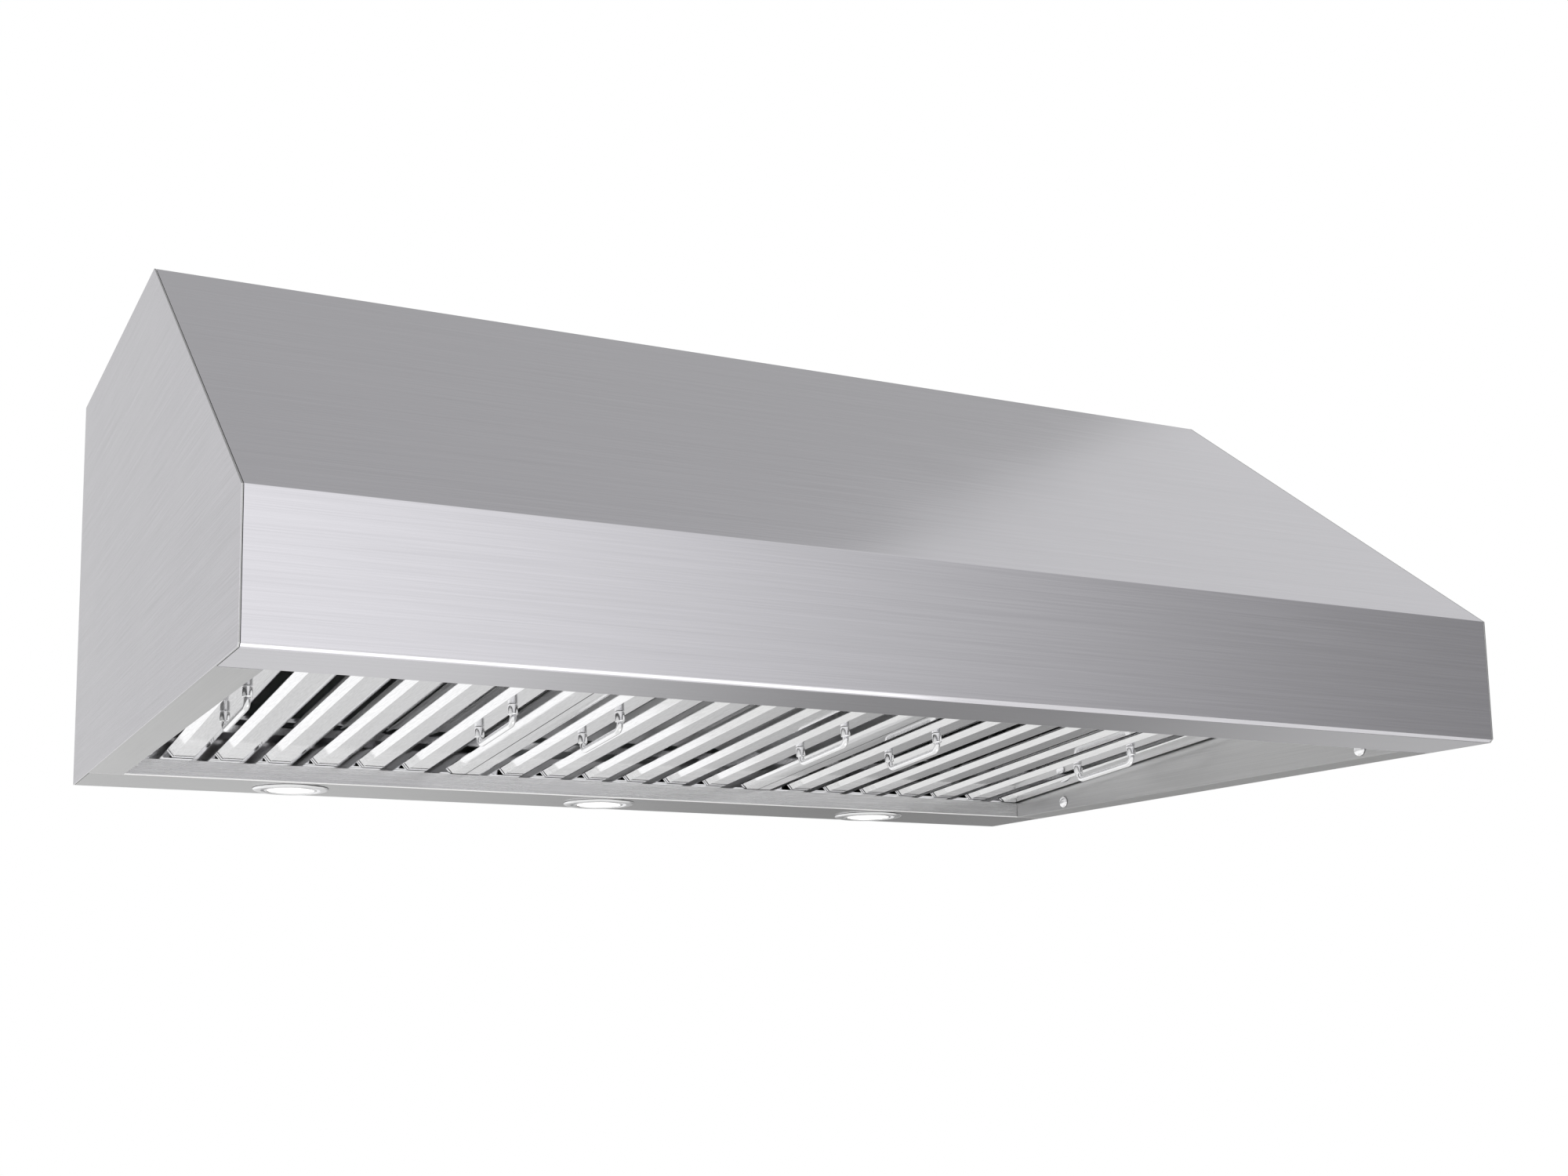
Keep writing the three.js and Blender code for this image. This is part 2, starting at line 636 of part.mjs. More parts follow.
function inletRing(side) {
  const face = HOUSING_HALF - GAP;
  const inner = EYE_R - 3;
  const outer = EYE_R - GAP;
  const profile = [[inner, face + 4], [outer, face + 4], [outer, face - 8], [inner, face - 8]];
  return turned(profile.map(([r, h]) => [r, side * h]), "x", blowerCentre);
}

add("blower_housing", GALVANISED, blowerHousing());
add("blower_wheel", ALUMINIUM, blowerWheel());
add("motor_shaft", CHROME, rod(SHAFT_R, -30, 34, "x", blowerCentre, 20));
add("blower_motor", BLACK_PLASTIC, blowerMotor());
add("motor_bracket", GALVANISED, motorBracket());
add("inlet_ring_left", BLACK_PLASTIC, inletRing(-1));
add("inlet_ring_right", BLACK_PLASTIC, inletRing(1));

// ---- Duct collar and damper ------------------------------------------------------------------------
// The flange lies under the top panel, and the tube stands up through the duct hole.
function ductCollar() {
  const flangeTop = CEILING;
  const flangeBase = flangeTop - SHEET;
  const half = COLLAR_PLATE / 2;
  const centre = [0, COLLAR_Y, 0];
  const bore = COLLAR_R - SHEET;
  const flange = cut(
    box(-half, half, COLLAR_Y - half, COLLAR_Y + half, flangeBase, flangeTop),
    rod(bore, flangeBase - 2, flangeTop + 2, "z", centre, 48),
  );
  const tube = pipe(bore, COLLAR_R, flangeBase, COLLAR_RIM, "z", centre, 48);
  const stopTop = FLAP_Z - FLAP_DROP - 0.4;
  const stop = pipe(bore - 5, bore + 0.5, stopTop - 1, stopTop, "z", centre, 48);
  const pinHole = rod(PIN_R + GAP, -COLLAR_R - 5, COLLAR_R + 5, "x", [0, COLLAR_Y, FLAP_Z], 16);
  return cut(join(flange, tube, stop), pinHole);
}

// Half a disc with two knuckles on the pin. It lies just above the collar's stop when shut.
function damperFlap(side, knuckles) {
  const centre = [0, COLLAR_Y, FLAP_Z];
  const low = -FLAP_DROP;
  const high = FLAP_SHEET - FLAP_DROP;
  const hingeGap = 4;
  const span = (near, far) => {
    const ends = [COLLAR_Y + side * near, COLLAR_Y + side * far];
    return side > 0 ? ends : ends.reverse();
  };
  const reach = FLAP_R + 10;
  const disc = rod(FLAP_R, low, high, "z", centre, 48);
  const keep = box(-reach, reach, ...span(hingeGap, reach), FLAP_Z - 4, FLAP_Z);
  const barrels = knuckles.map((x) =>
    join(
      rod(KNUCKLE_R, x - KNUCKLE_HALF, x + KNUCKLE_HALF, "x", centre, 16),
      box(x - KNUCKLE_HALF, x + KNUCKLE_HALF, ...span(0, hingeGap + 2), FLAP_Z + low, FLAP_Z + high),
    ),
  );
  const bore = rod(PIN_R + RUNNING, -reach, reach, "x", centre, 16);
  return cut(join(disc.intersect(keep), ...barrels), bore);
}

add("duct_collar", GALVANISED, ductCollar());
add("damper_pin", CHROME, rod(PIN_R, -COLLAR_R - 2, COLLAR_R + 2, "x", [0, COLLAR_Y, FLAP_Z], 16));
add("damper_flap_front", ALUMINIUM, damperFlap(-1, [-62, 62]));
add("damper_flap_rear", ALUMINIUM, damperFlap(1, [-30, 30]));

// ---- Electrics -------------------------------------------------------------------------------------
const boxSides = [BOX_X - BOX_HALF[0], BOX_X + BOX_HALF[0], BOX_Y - BOX_HALF[1], BOX_Y + BOX_HALF[1]];
const BOX_BASE = CEILING - BOX_HEIGHT;

function junctionBox() {
  const [x0, x1, y0, y1] = boxSides;
  return cut(
    box(...boxSides, BOX_BASE, CEILING),
    box(x0 + SHEET, x1 - SHEET, y0 + SHEET, y1 - SHEET, BOX_BASE - 1, CEILING - SHEET),
    rod(GROMMET_HOLE, CEILING - 5, CEILING + 5, "z", [BOX_X, BOX_Y, 0], 24),
  );
}

// A bush with a lip above the top panel and another inside the box.
function cableGrommet() {
  const neck = GROMMET_HOLE - GAP;
  const lip = GROMMET_HOLE + GROMMET_LIP;
  const inside = CEILING - SHEET - GAP;
  const outside = TOP_Z + GAP;
  return turned(
    [
      [GROMMET_BORE, TOP_Z - 8], [lip, TOP_Z - 8], [lip, inside],
      [neck, inside], [neck, outside],
      [lip, outside], [lip - 1, TOP_Z + 3], [GROMMET_BORE, TOP_Z + 4],
    ],
    "z", [BOX_X, BOX_Y, 0], 24,
  );
}

add("junction_box", GALVANISED, junctionBox());
add("junction_box_cover", GALVANISED, box(...boxSides, BOX_BASE - GAP - SHEET, BOX_BASE - GAP));
add("cable_grommet", RUBBER, cableGrommet());
add("lamp_driver", BLACK_PLASTIC, box(-390, -270, 200, 245, CEILING - 28, CEILING));
add("run_capacitor", BLACK_PLASTIC, rod(CAPACITOR_R, -182, -122, "x", [0, 262, CEILING - CAPACITOR_R], 24));

// ---- Controls --------------------------------------------------------------------------------------
const buttonCentres = [...Array(BUTTONS).keys()].map(
  (i) => CONTROL_X + (i - (BUTTONS - 1) / 2) * BUTTON_PITCH,
);
const stripSides = [CONTROL_X - STRIP_HALF, CONTROL_X + STRIP_HALF];
const stripHeights = [CONTROL_Z - STRIP_HALF_HEIGHT, CONTROL_Z + STRIP_HALF_HEIGHT];

function controlStrip() {
  const face = RETURN_Y + GAP;
  const holes = buttonCentres.map((x) =>
    rod(BUTTON_R + 0.4, face - 5, face + 5, "y", [x, 0, CONTROL_Z], 24),
  );
  return cut(box(...stripSides, face, face + 1, ...stripHeights), ...holes);
}

// A round cap with a flange behind the strip that keeps it in.
function button(x) {
  const flange = BUTTON_R + 1.6;
  const front = RETURN_Y + BUTTON_PROUD;
  const back = RETURN_Y - 5;
  return turned(
    [
      [0, back], [flange, back], [flange, RETURN_Y], [BUTTON_R, RETURN_Y],
      [BUTTON_R, front - 0.5], [BUTTON_R - 0.5, front], [0, front],
    ],
    "y", [x, 0, CONTROL_Z], 24,
  );
}

// The switch board behind the buttons, on two posts that stand off the return.
function controlBoard() {
  const face = RETURN_Y - BOARD_SETBACK;
  const plate = box(...stripSides, face - 1.6, face, ...stripHeights);
  const posts = [-1, 1].map((side) => {
    const x = CONTROL_X + side * (STRIP_HALF - 5);
    return rod(3, face - 0.5, RETURN_Y - SHEET - GAP, "y", [x, 0, CONTROL_Z], 16);
  });
  return join(plate, ...posts);
}

add("control_strip", BLACK_PLASTIC, controlStrip());
buttonCentres.forEach((x, i) => add(`button_${i + 1}`, CHROME, button(x)));
add("control_board", CIRCUIT, controlBoard());

export default hood;
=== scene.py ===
"""Looks for an under cabinet range hood: brushed panels, baffle filters, wire handles and lamps."""
import json
import math

import bmesh
import bpy
from mathutils import Matrix, Vector


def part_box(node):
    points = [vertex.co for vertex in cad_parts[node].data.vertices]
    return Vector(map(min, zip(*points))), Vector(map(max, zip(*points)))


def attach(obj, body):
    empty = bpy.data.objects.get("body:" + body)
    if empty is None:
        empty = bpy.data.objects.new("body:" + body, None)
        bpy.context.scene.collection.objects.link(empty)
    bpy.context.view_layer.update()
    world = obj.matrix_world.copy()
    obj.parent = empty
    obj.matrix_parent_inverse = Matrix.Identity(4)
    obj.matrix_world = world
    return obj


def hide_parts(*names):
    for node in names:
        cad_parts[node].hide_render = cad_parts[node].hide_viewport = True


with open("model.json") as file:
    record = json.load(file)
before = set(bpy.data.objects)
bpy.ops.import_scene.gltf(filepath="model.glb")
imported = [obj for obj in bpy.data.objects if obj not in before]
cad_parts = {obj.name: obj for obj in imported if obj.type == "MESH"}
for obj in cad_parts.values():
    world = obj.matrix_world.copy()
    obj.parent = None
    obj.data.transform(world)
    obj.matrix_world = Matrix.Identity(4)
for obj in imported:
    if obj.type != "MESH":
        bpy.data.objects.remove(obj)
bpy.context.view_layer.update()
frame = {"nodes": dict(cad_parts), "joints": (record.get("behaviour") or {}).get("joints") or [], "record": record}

BODIES = frame["record"]["behaviour"]["bodies"]
BODY_OF = {node: body for body, nodes in BODIES.items() for node in nodes}
SLOT_OF = {row["node"]: row["material_slot"] for row in frame["record"]["subparts"]}
JOINT_AT = {joint["name"]: joint.get("pos_m") for joint in frame["joints"]}

# ---- Sizes in metres ------------------------------------------------------------------------------
MM = 0.001
SHEET = 1.2 * MM
GAP = 0.3 * MM
HEM = 15 * MM
BAND = 89 * MM
CHAMFER = 2.5 * MM
FRONT_FLANGE = 60 * MM
FOLD = 1.1 * MM  # inside radius of a fold in the canopy's sheet
FOLD_STEPS = 6
FOLD_MARGIN = 0.75 * MM  # keeps a fold's shading off the flat beside it
EDGE_BREAK = 0.35 * MM  # how far most cut edges are rounded
PANEL_BREAK = 0.4 * MM
TILT = math.radians(5)

FILTERS = (1, 2, 3)
FRAME_SHEET = 1.2 * MM
FILTER_FRONT = 463 * MM
FILTER_REAR = 12 * MM
FILTER_THICK = 32 * MM
UPPER_REAR_GAP = 26 * MM
BAFFLES = 6
PITCH = 39.5 * MM
FLAT = 16.5 * MM
WING = 6.6 * MM
RISE = 3.1 * MM
BAFFLE_SHEET = 1 * MM
BAFFLE_FOLD = 0.9 * MM
STRIP_LOWER = 9 * MM  # depth of the cross strips that join the channels
STRIP_UPPER = 12 * MM
LOWER_BASE = FRAME_SHEET + GAP
UPPER_BASE = FILTER_THICK - FRAME_SHEET - GAP
frame_low, frame_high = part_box("filter_2_frame")
FILTER_HALF = (frame_high.x - frame_low.x) / 2

HANDLE_REAR = 155 * MM
HANDLE_SPAN = 72 * MM
HANDLE_ROD = 2.5 * MM
HANDLE_POST = 3.7 * MM
HANDLE_DROP = 16.5 * MM
HANDLE_CORNER = 6 * MM
HANDLE_TURNS = 10
SLEEVE_LIP = 0.5 * MM

LENS_R = 19.5 * MM
LENS_LOW = 0.6 * MM  # height of the lens's middle above the trim's face
LENS_CROWN = 0.35 * MM
LENS_STEPS = 8
LENS_STEP_HIGH = 1.3 * MM
LENS_HIGH = 4 * MM
INNER_RING_R = 21.6 * MM
GROOVE_LOW_R = 22.3 * MM
GROOVE_HIGH_R = 24.8 * MM
GROOVE_DEEP = 1.7 * MM
OUTER_RING_R = 25.7 * MM
OUTER_RING_END = 29.5 * MM
SOFTEN = 0.3 * MM
TRIM_R = 32 * MM
TRIM_NECK_R = 26 * MM
TRIM_TOP = 9 * MM

canopy_low, canopy_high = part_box("front_canopy")
deck_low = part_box("rear_deck")[0]
RIM_Z = canopy_low.z
TOP_Z = canopy_high.z
FRONT_Y = canopy_low.y
TOP_FRONT_Y = canopy_high.y - HEM
RETURN_Y = FRONT_Y + FRONT_FLANGE
RETURN_TOP = 92 * MM
LIP_Y = deck_low.y


# ---- Materials ------------------------------------------------------------------------------------
class Shader:
    """A material and short ways to add nodes to it."""

    def __init__(self, name, colour, metallic, roughness):
        self.material = bpy.data.materials.new(name)
        self.material.use_nodes = True
        self.tree = self.material.node_tree
        self.surface = self.tree.nodes["Principled BSDF"]
        self.surface.inputs["Metallic"].default_value = metallic
        self.surface.inputs["Roughness"].default_value = roughness
        self.surface.inputs["Base Color"].default_value = (*colour, 1)
        self.place = self.add("ShaderNodeTexCoord").outputs["Object"]

    def add(self, kind, **settings):
        node = self.tree.nodes.new(kind)
        for key, value in settings.items():
            setattr(node, key, value)
        return node

    def link(self, source, target):
        self.tree.links.new(source, target)

    def stretched(self, scale, turn=0.0):
        mapping = self.add("ShaderNodeMapping")
        mapping.inputs["Scale"].default_value = scale
        mapping.inputs["Rotation"].default_value = (turn, 0, 0)
        self.link(self.place, mapping.inputs["Vector"])
        return mapping.outputs["Vector"]

    def noise(self, vector, scale=1.0, detail=4.0, rough=0.6):
        node = self.add("ShaderNodeTexNoise")
        node.inputs["Scale"].default_value = scale
        node.inputs["Detail"].default_value = detail
        node.inputs["Roughness"].default_value = rough
        self.link(vector, node.inputs["Vector"])
        return node.outputs["Fac"]

    def spread(self, value, low, high, start=0.3, end=0.7):
        node = self.add("ShaderNodeMapRange")
        node.inputs["From Min"].default_value = start
        node.inputs["From Max"].default_value = end
        node.inputs["To Min"].default_value = low
        node.inputs["To Max"].default_value = high
        self.link(value, node.inputs["Value"])
        return node.outputs["Result"]

    def maths(self, operation, a, b):
        node = self.add("ShaderNodeMath", operation=operation)
        for socket, value in zip(node.inputs, (a, b)):
            if isinstance(value, (int, float)):
                socket.default_value = value
            else:
                self.link(value, socket)
        return node.outputs["Value"]

    def tint(self, colour, factor):
        """The colour made darker or lighter by a factor that varies over the surface."""
        node = self.add("ShaderNodeVectorMath", operation="SCALE")
        node.inputs[0].default_value = colour
        self.link(factor, node.inputs["Scale"])
        return node.outputs["Vector"]

    def bump(self, height, strength, distance):
        node = self.add("ShaderNodeBump")
        node.inputs["Strength"].default_value = strength
        node.inputs["Distance"].default_value = distance
        self.link(height, node.inputs["Height"])
        self.link(node.outputs["Normal"], self.surface.inputs["Normal"])

    def wear_and_highlight(self):
        # the per-face value of rubbed edges and folds, which also carries their painted highlight
        return self.add("ShaderNodeAttribute", attribute_name="wear_and_highlight").outputs["Fac"]


def brushed(name, colour, roughness, grain, anisotropy=0.3, turn=0.0, contrast=0.03, bump=0.04):
    """Metal with a grain along one axis, smudges, and smoother folds and edges that are painted brighter: rubbed
    metal with a painted highlight.
    """
    s = Shader(name, colour, 1.0, roughness)
    across, along = 1300.0, 9.0
    scale = [across] * 3
    scale["XYZ".index(grain)] = along
    fine = s.noise(s.stretched(scale, turn))
    streak = s.noise(s.stretched([v / 9 for v in scale], turn), detail=2)
    smudge = s.noise(s.place, scale=5, detail=3)
    wear_and_highlight = s.wear_and_highlight()
    lines = s.maths("ADD", s.spread(fine, -contrast, contrast), s.spread(streak, -contrast / 4, contrast / 4))
    # folds and rounded edges are painted 12 % lighter: rubbed metal and a painted highlight
    shade = s.maths("ADD", s.maths("ADD", lines, 1.0), s.maths("MULTIPLY", wear_and_highlight, 0.12))
    s.link(s.tint(colour, shade), s.surface.inputs["Base Color"])
    uneven = s.maths("ADD", s.spread(fine, -0.03, 0.03), s.spread(smudge, -0.025, 0.035))
    worn_and_highlit = s.maths("SUBTRACT", uneven, s.maths("MULTIPLY", wear_and_highlight, 0.05))
    s.link(s.maths("ADD", worn_and_highlit, roughness), s.surface.inputs["Roughness"])
    s.surface.inputs["Anisotropic"].default_value = anisotropy
    s.bump(fine, bump, 0.1 * MM)
    direction = s.add("ShaderNodeCombineXYZ")
    direction.inputs[grain].default_value = 1.0
    spaces = {"vector_type": "VECTOR", "convert_from": "OBJECT", "convert_to": "WORLD"}
    world = s.add("ShaderNodeVectorTransform", **spaces)
    s.link(direction.outputs["Vector"], world.inputs["Vector"])
    s.link(world.outputs["Vector"], s.surface.inputs["Tangent"])
    return s.material


def galvanised():
    """Zinc coat with a dull spangle of crystals."""
    colour = (0.50, 0.52, 0.53)
    s = Shader("galvanised_steel", colour, 0.9, 0.42)
    cells = s.add("ShaderNodeTexVoronoi")
    cells.inputs["Scale"].default_value = 95
    cells.inputs["Randomness"].default_value = 1
    s.link(s.place, cells.inputs["Vector"])
    grey = s.add("ShaderNodeSeparateColor")
    s.link(cells.outputs["Color"], grey.inputs["Color"])
    haze = s.noise(s.place, scale=14)
    shade = s.maths("ADD", s.spread(grey.outputs["Red"], 0.88, 1.1, 0, 1), s.spread(haze, -0.05, 0.05))
    # rounded edges are painted 12 % lighter: rubbed zinc and a painted highlight
    shade = s.maths("ADD", shade, s.maths("MULTIPLY", s.wear_and_highlight(), 0.12))
    s.link(s.tint(colour, shade), s.surface.inputs["Base Color"])
    s.link(s.spread(grey.outputs["Green"], 0.34, 0.52, 0, 1), s.surface.inputs["Roughness"])
    s.bump(haze, 0.08, 0.2 * MM)
    return s.material


def satin(name, colour, metallic, roughness, grain_size, bump, wear_and_highlight_gain=0.15):
    """A cast, moulded or plated surface: fine texture, uneven roughness and slightly rubbed edges that are painted
    lighter as a painted highlight.
    """
    s = Shader(name, colour, metallic, roughness)
    fine = s.noise(s.place, scale=1 / grain_size, detail=3)
    cloud = s.noise(s.place, scale=11, detail=3)
    # rounded edges are painted lighter by the given gain: rubbed edges and a painted highlight
    shade = s.maths("ADD", s.spread(cloud, 0.93, 1.06), s.maths("MULTIPLY", s.wear_and_highlight(), wear_and_highlight_gain))
    s.link(s.tint(colour, shade), s.surface.inputs["Base Color"])
    uneven = s.maths("ADD", s.spread(fine, -0.04, 0.04), s.spread(cloud, roughness - 0.03, roughness + 0.05))
    s.link(uneven, s.surface.inputs["Roughness"])
    s.bump(fine, bump, 0.15 * MM)
    return s.material


def lamp_glass():
    """Frosted lens lit from behind, a little brighter in patches."""
    s = Shader("lamp_glass", (0.98, 0.97, 0.94), 0.0, 0.3)
    frost = s.noise(s.place, scale=900, detail=2)
    glow = s.noise(s.place, scale=40, detail=1)
    s.surface.inputs["Emission Color"].default_value = (1.0, 0.97, 0.92, 1)
    s.link(s.spread(glow, 0.95, 1.25), s.surface.inputs["Emission Strength"])
    s.link(s.spread(frost, 0.25, 0.4), s.surface.inputs["Roughness"])
    s.bump(frost, 0.1, 0.1 * MM)
    return s.material


def circuit():
    """Solder mask over faint copper tracks."""
    colour = (0.02, 0.13, 0.05)
    s = Shader("circuit_board", colour, 0.0, 0.35)
    tracks = s.add("ShaderNodeTexBrick")
    tracks.inputs["Scale"].default_value = 130
    tracks.inputs["Mortar Size"].default_value = 0.06
    tracks.inputs["Color1"].default_value = (*colour, 1)
    tracks.inputs["Color2"].default_value = (0.018, 0.11, 0.045, 1)
    tracks.inputs["Mortar"].default_value = (0.06, 0.24, 0.08, 1)
    s.link(s.stretched((1, 1, 1), math.pi / 2), tracks.inputs["Vector"])
    s.link(tracks.outputs["Color"], s.surface.inputs["Base Color"])
    s.link(s.spread(s.noise(s.place, scale=300), 0.28, 0.42), s.surface.inputs["Roughness"])
    s.bump(tracks.outputs["Fac"], 0.1, 0.05 * MM)
    return s.material


STEEL = (0.745, 0.735, 0.775)
MATERIALS = {
    "front": brushed("brushed_along_x", STEEL, 0.11, "X", contrast=0.05),
    # The deck is the hood's steel painted darker: painted shade on the recessed deck.
    "deck": brushed("brushed_deck_shaded", (0.42, 0.42, 0.42), 0.2, "X", contrast=0.08),
    # The lip is the hood's steel painted lighter: painted light on the faces turned toward the front.
    "lip": brushed("brushed_lip_lit", (0.86, 0.86, 0.86), 0.26, "X", contrast=0.08),
    # The side panels' faces that don't face outward are the hood's steel painted darker: painted shade.
    "inner": brushed("brushed_inner_shaded", (0.52, 0.52, 0.52), 0.32, "Y", contrast=0.07),
    "side": brushed("brushed_along_y", STEEL, 0.2, "Y", contrast=0.09),
    "polished_stainless": brushed("polished_stainless", (0.86, 0.86, 0.87), 0.08, "Y", 0.2, TILT, 0.08, 0.02),
    "upper_channels": brushed(
        "polished_stainless_inner", (0.84, 0.84, 0.85), 0.3, "Y", 0.2, TILT, 0.05, 0.03
    ),
    "bright_wire": satin("bright_wire", (0.88, 0.88, 0.89), 1.0, 0.17, 0.4 * MM, 0.01, 0.05),
    "galvanised_steel": galvanised(),
    "die_cast_aluminium": satin("die_cast_aluminium", (0.70, 0.71, 0.72), 1.0, 0.36, 0.7 * MM, 0.12),
    "lamp_glass": lamp_glass(),
    "black_plastic": satin("black_plastic", (0.025, 0.025, 0.028), 0.0, 0.48, 0.5 * MM, 0.2, 0.6),
    "black_rubber": satin("black_rubber", (0.018, 0.018, 0.018), 0.0, 0.72, 0.9 * MM, 0.25, 0.4),
    "circuit_board": circuit(),
}


def material_for(node):
    if node.endswith("upper_baffles"):
        return MATERIALS["upper_channels"]
    # the rear deck takes the darker copy of the steel, painted shade
    if node == "rear_deck":
        return MATERIALS["deck"]
    if SLOT_OF[node] != "brushed_stainless":
        return MATERIALS[SLOT_OF[node]]
    return MATERIALS["side" if "side_panel" in node else "front"]


# ---- Mesh tools -----------------------------------------------------------------------------------
def finish_mesh(shape, name, wear_and_highlight_faces, place=None, smooth_angle=32):
    """Turns a bmesh into a smooth-shaded object with a per-face value that marks rubbed edges and folds, which the
    materials paint lighter as a painted highlight.
    """
    bmesh.ops.recalc_face_normals(shape, faces=shape.faces)
    if place:
        shape.transform(place)
    # the listed faces are marked as rubbed edges and folds, to get a painted highlight
    layer = shape.faces.layers.float.new("wear_and_highlight")
    for face in wear_and_highlight_faces:
        if face.is_valid:
            face[layer] = 1.0
    mesh = bpy.data.meshes.new(name)
    shape.to_mesh(mesh)
    shape.free()
    mesh.shade_smooth()
    mesh.set_sharp_from_angle(angle=math.radians(smooth_angle))
    piece = bpy.data.objects.new(name, mesh)
    bpy.context.scene.collection.objects.link(piece)
    modifier = piece.modifiers.new("weighted", "WEIGHTED_NORMAL")
    modifier.keep_sharp = True
    return piece


def stand_for(piece, node):
    """The piece takes a CAD node's place, body, slot and material."""
    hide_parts(node)
    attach(piece, BODY_OF[node])
    piece.data.materials.append(material_for(node))
    return piece


def break_edges(shape, width, steps, sharper_than=35):
    """Rounds every edge sharper than an angle, and returns the new faces."""
    limit = math.radians(sharper_than)
    edges = [e for e in shape.edges if len(e.link_faces) == 2 and e.calc_face_angle() > limit]
    made = bmesh.ops.bevel(
        shape, geom=edges, offset=width, segments=steps, profile=0.5, affect="EDGES", clamp_overlap=True
    )
    return made["faces"]


def cad_shape(node):
    """A copy of the CAD node's own shape, with its coplanar facets merged."""
    shape = bmesh.new()
    shape.from_mesh(frame["nodes"][node].data)
    bmesh.ops.remove_doubles(shape, verts=shape.verts, dist=0.01 * MM)
    flat = math.radians(0.4)
    parts = {"verts": shape.verts, "edges": shape.edges}
    bmesh.ops.dissolve_limit(shape, angle_limit=flat, use_dissolve_boundaries=False, **parts)
    return shape


def refined(node, width=EDGE_BREAK, steps=2):
    """The CAD node's own shape with its edges rounded."""
    shape = cad_shape(node)
    # the rounded edges are marked as rubbed, to get a painted highlight
    worn_and_highlit = break_edges(shape, width, steps)
    return stand_for(finish_mesh(shape, node + "_finished", worn_and_highlit), node)


def left_of(way):
    return Vector((-way.y, way.x))


def filleted(path, radius, thickness):
    """Points along a folded sheet's face, each with its left normal and whether it lies on a fold."""
    rows = []
    points = [Vector(p) for p in path]
    ways = [(b - a).normalized() for a, b in zip(points, points[1:])]
    rows.append((points[0], left_of(ways[0]), False))
    for corner, before, after in zip(points[1:-1], ways, ways[1:]):
        turn = math.atan2(before.x * after.y - before.y * after.x, before.dot(after))
        face_radius = radius + thickness if turn > 0 else radius
        back = face_radius * math.tan(abs(turn) / 2)
        start = corner - before * back
        centre = start + left_of(before) * math.copysign(face_radius, turn)
        rows.append((start - before * FOLD_MARGIN, left_of(before), False))
        for step in range(FOLD_STEPS + 1):
            spin = Matrix.Rotation(turn * step / FOLD_STEPS, 2)
            rows.append((centre + spin @ (start - centre), spin @ left_of(before), True))
        rows.append((corner + after * (back + FOLD_MARGIN), left_of(after), False))
    rows.append((points[-1], left_of(ways[-1]), False))
    return rows


def folded_sheet(shape, path, thickness, start, end, radius, put):
    """Adds a sheet folded along `path` and drawn from start to end. `put` makes a 3-D point."""
    rows = filleted(path, radius, thickness)
    loops = []
    for along in (start, end):
        face = [shape.verts.new(put(p, along)) for p, _, _ in rows]
        inner = [shape.verts.new(put(p + normal * thickness, along)) for p, normal, _ in rows]
        loops.append((face, inner))
    (face_a, inner_a), (face_b, inner_b) = loops
    worn_and_highlit = []
    for i in range(len(rows) - 1):
        outside = shape.faces.new((face_a[i], face_a[i + 1], face_b[i + 1], face_b[i]))
        shape.faces.new((inner_a[i], inner_b[i], inner_b[i + 1], inner_a[i + 1]))
        shape.faces.new((face_a[i], inner_a[i], inner_a[i + 1], face_a[i + 1]))
        shape.faces.new((face_b[i], face_b[i + 1], inner_b[i + 1], inner_b[i]))
        # outer faces on a fold are marked as rubbed, to get a painted highlight
        if rows[i][2] and rows[i + 1][2]:
            worn_and_highlit.append(outside)
    shape.faces.new((face_a[0], face_b[0], inner_b[0], inner_a[0]))
    shape.faces.new((face_a[-1], inner_a[-1], inner_b[-1], face_b[-1]))
    return worn_and_highlit


def along_x(point, x):
    return Vector((x, point.x, point.y))


def along_y(point, y):
    return Vector((point.x, y, point.y))


def lathe(shape, profile, centre, segments=96):
    """Adds a closed (radius, height) profile turned about an upright axis."""
    rings = []
    for r, h in profile:
        turns = [math.tau * i / segments for i in range(segments if r else 1)]
        places = [Vector((r * math.cos(a), r * math.sin(a), h)) for a in turns]
        rings.append([shape.verts.new(Vector(centre) + place) for place in places])
    pairs = list(zip(rings, rings[1:]))
    if len(rings[0]) > 1:
        pairs.append((rings[-1], rings[0]))
    for low, high in pairs:
        for i in range(segments):
            j = (i + 1) % segments
            corners = [low[i % len(low)], low[j % len(low)], high[j % len(high)], high[i % len(high)]]
            unique = list(dict.fromkeys(corners))
            if len(unique) > 2:
                shape.faces.new(unique)


def tube(shape, points, radius, sides=20):
    """Adds a closed round rod along a path that lies in the local Y-Z plane."""
    rings = []
    for i, point in enumerate(points):
        way = (points[min(i + 1, len(points) - 1)] - points[max(i - 1, 0)]).normalized()
        side = Vector((1, 0, 0))
        up = way.cross(side)
        rings.append([
            shape.verts.new(point + radius * (side * math.cos(a) + up * math.sin(a)))
            for a in (math.tau * k / sides for k in range(sides))
        ])
    for low, high in zip(rings, rings[1:]):
        for i in range(sides):
            j = (i + 1) % sides
            shape.faces.new((low[i], low[j], high[j], high[i]))
    shape.faces.new(rings[0])
    shape.faces.new(rings[-1])


def repaint(piece, lit_or_shaded_copy, chosen):
    """Gives the faces whose normal is chosen another copy of the same metal, lighter on the lip and darker on the
    side panels' inner faces: painted light and shade by the way they face.
    """
    piece.data.materials.append(MATERIALS[lit_or_shaded_copy])
    for face in piece.data.polygons:
        if chosen(face.normal):
            face.material_index = 1


